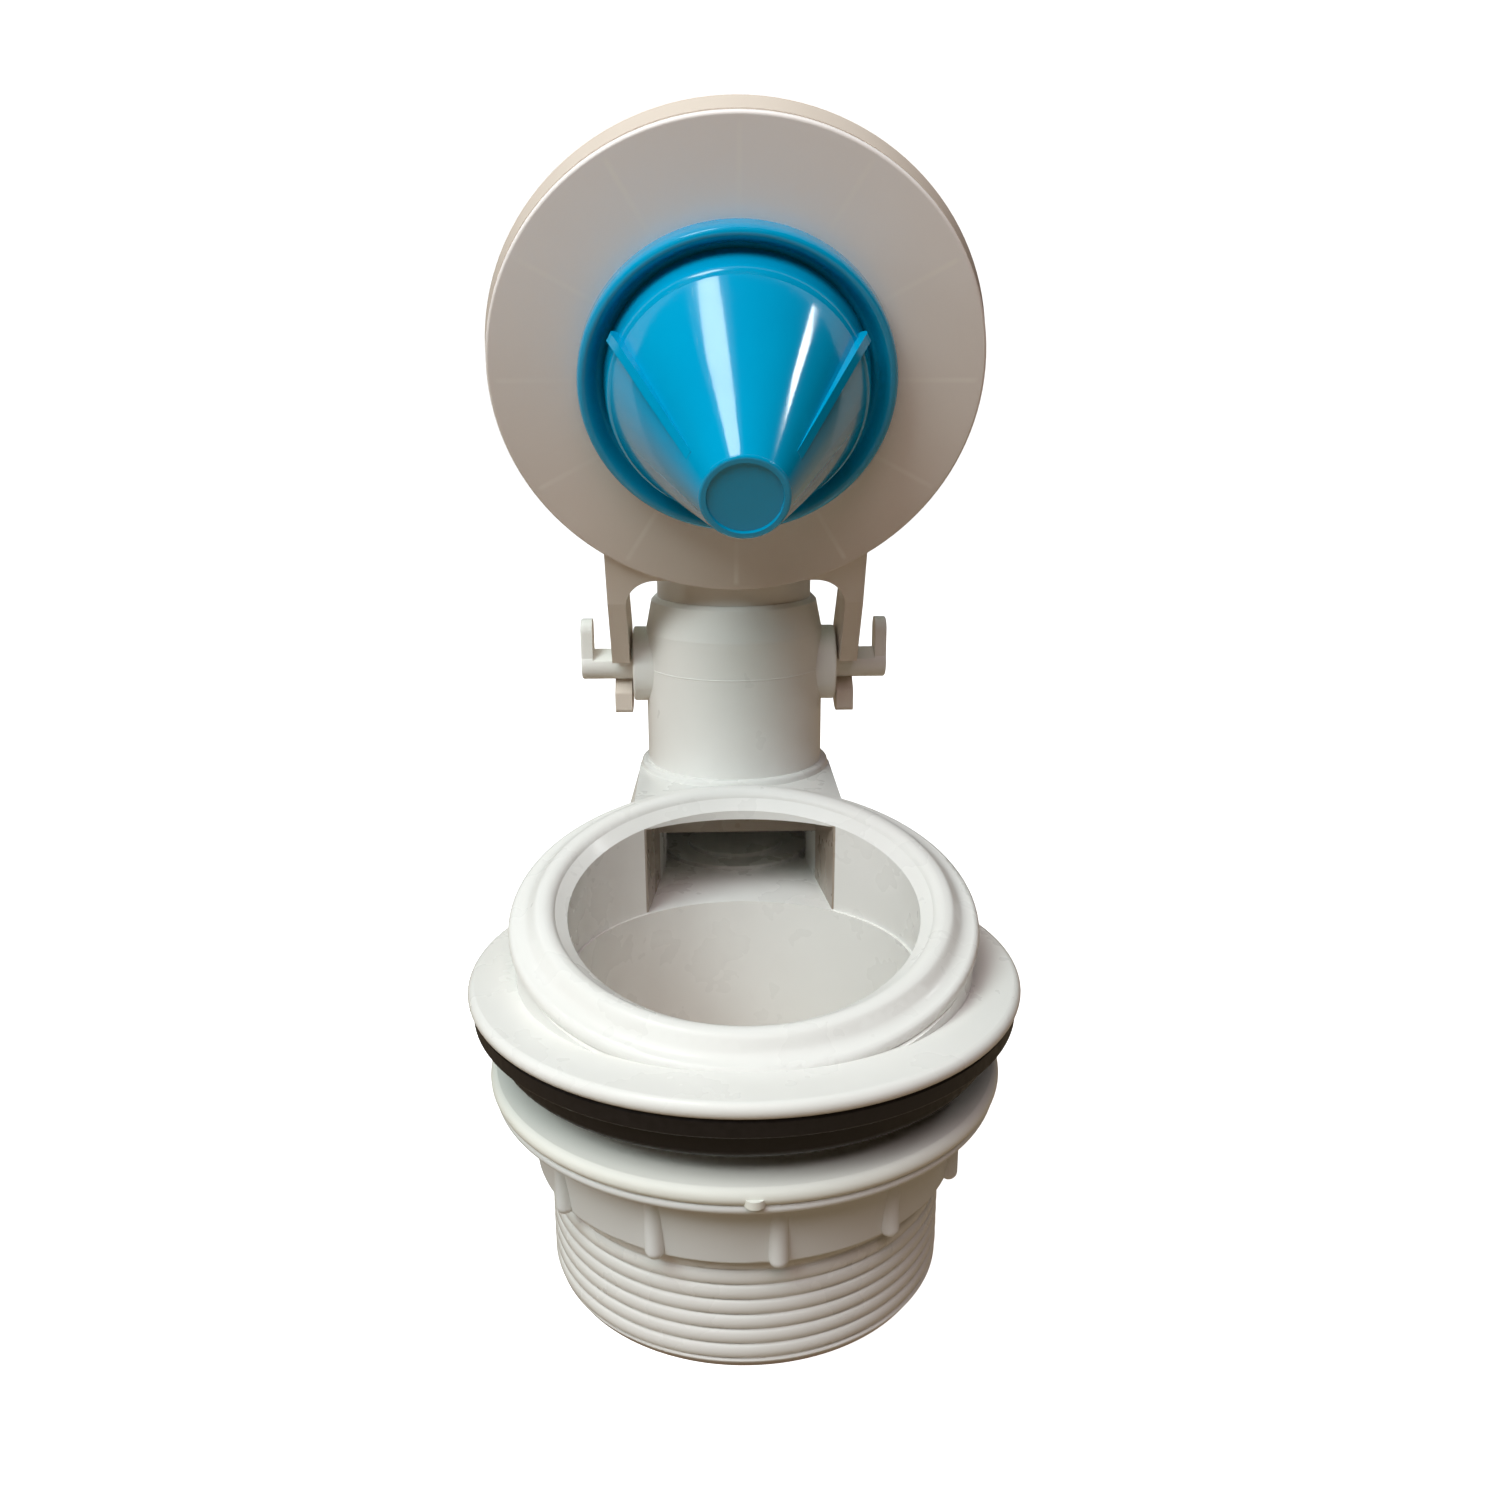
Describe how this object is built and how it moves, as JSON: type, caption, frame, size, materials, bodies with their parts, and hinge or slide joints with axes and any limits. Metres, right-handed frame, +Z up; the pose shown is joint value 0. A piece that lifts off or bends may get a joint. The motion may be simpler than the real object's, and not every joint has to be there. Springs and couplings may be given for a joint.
{
  "type": "toilet flush valve",
  "caption": "Flush valve for a cistern: threaded outlet shank with lock nut and gasket, tilted seat, overflow tube, and a hinged flapper with a soft seal and a cone float, stored open.",
  "frame": {"origin": "centre of the outlet bore, in the plane of the shank's bottom end", "axes": "+Z up along the shank's axis, +Y from the seat towards the overflow tube, +X to the right seen from the seat side"},
  "size_m": [0.109, 0.1536, 0.225],
  "materials": {
    "body_plastic": "satin moulded white plastic with a faint warm green cast",
    "collar_plastic": "satin moulded white plastic",
    "tube_plastic": "matt extruded white plastic",
    "frame_plastic": "satin moulded cream plastic",
    "nut_plastic": "matt moulded warm white plastic",
    "natural_plastic": "waxy natural polyethylene, slightly translucent",
    "black_rubber": "matt black moulded rubber",
    "silicone": "frosted translucent silicone",
    "blue_plastic": "glossy injection-moulded blue plastic"
  },
  "bodies": {
    "valve": {"valve_body": "body_plastic", "tank_gasket": "black_rubber", "hinge_collar": "collar_plastic", "hinge_pin_left": "collar_plastic", "hinge_pin_right": "collar_plastic", "collar_o_ring": "black_rubber", "overflow_tube": "tube_plastic"},
    "flapper": {"flapper_frame": "frame_plastic", "flapper_hub": "frame_plastic", "flapper_arm_left": "frame_plastic", "flapper_arm_right": "frame_plastic", "chain_eyelet": "frame_plastic", "flapper_seal": "silicone", "flapper_float": "blue_plastic"},
    "washer": {"friction_washer": "natural_plastic"},
    "nut": {"lock_nut": "nut_plastic"}
  },
  "joints": [
    {"name": "flapper_hinge", "type": "hinge", "parent": "valve", "child": "flapper", "pos_m": [0, 0.0723, 0.1099], "axis": [1, 0, 0], "range_deg": [0, 80]},
    {"name": "washer_slide", "type": "slide", "parent": "valve", "child": "washer", "axis": [0, 0, 1], "range_m": [-0.0176, 0.0048]},
    {"name": "nut_turn", "type": "hinge", "parent": "washer", "child": "nut", "pos_m": [0, 0, 0.0337], "axis": [0, 0, 1], "range_deg": [-1980, 530]}
  ],
  "couplings": [
    {"joint": "washer_slide", "follows": "nut_turn", "m_per_rad": 0.00050532}
  ]
}
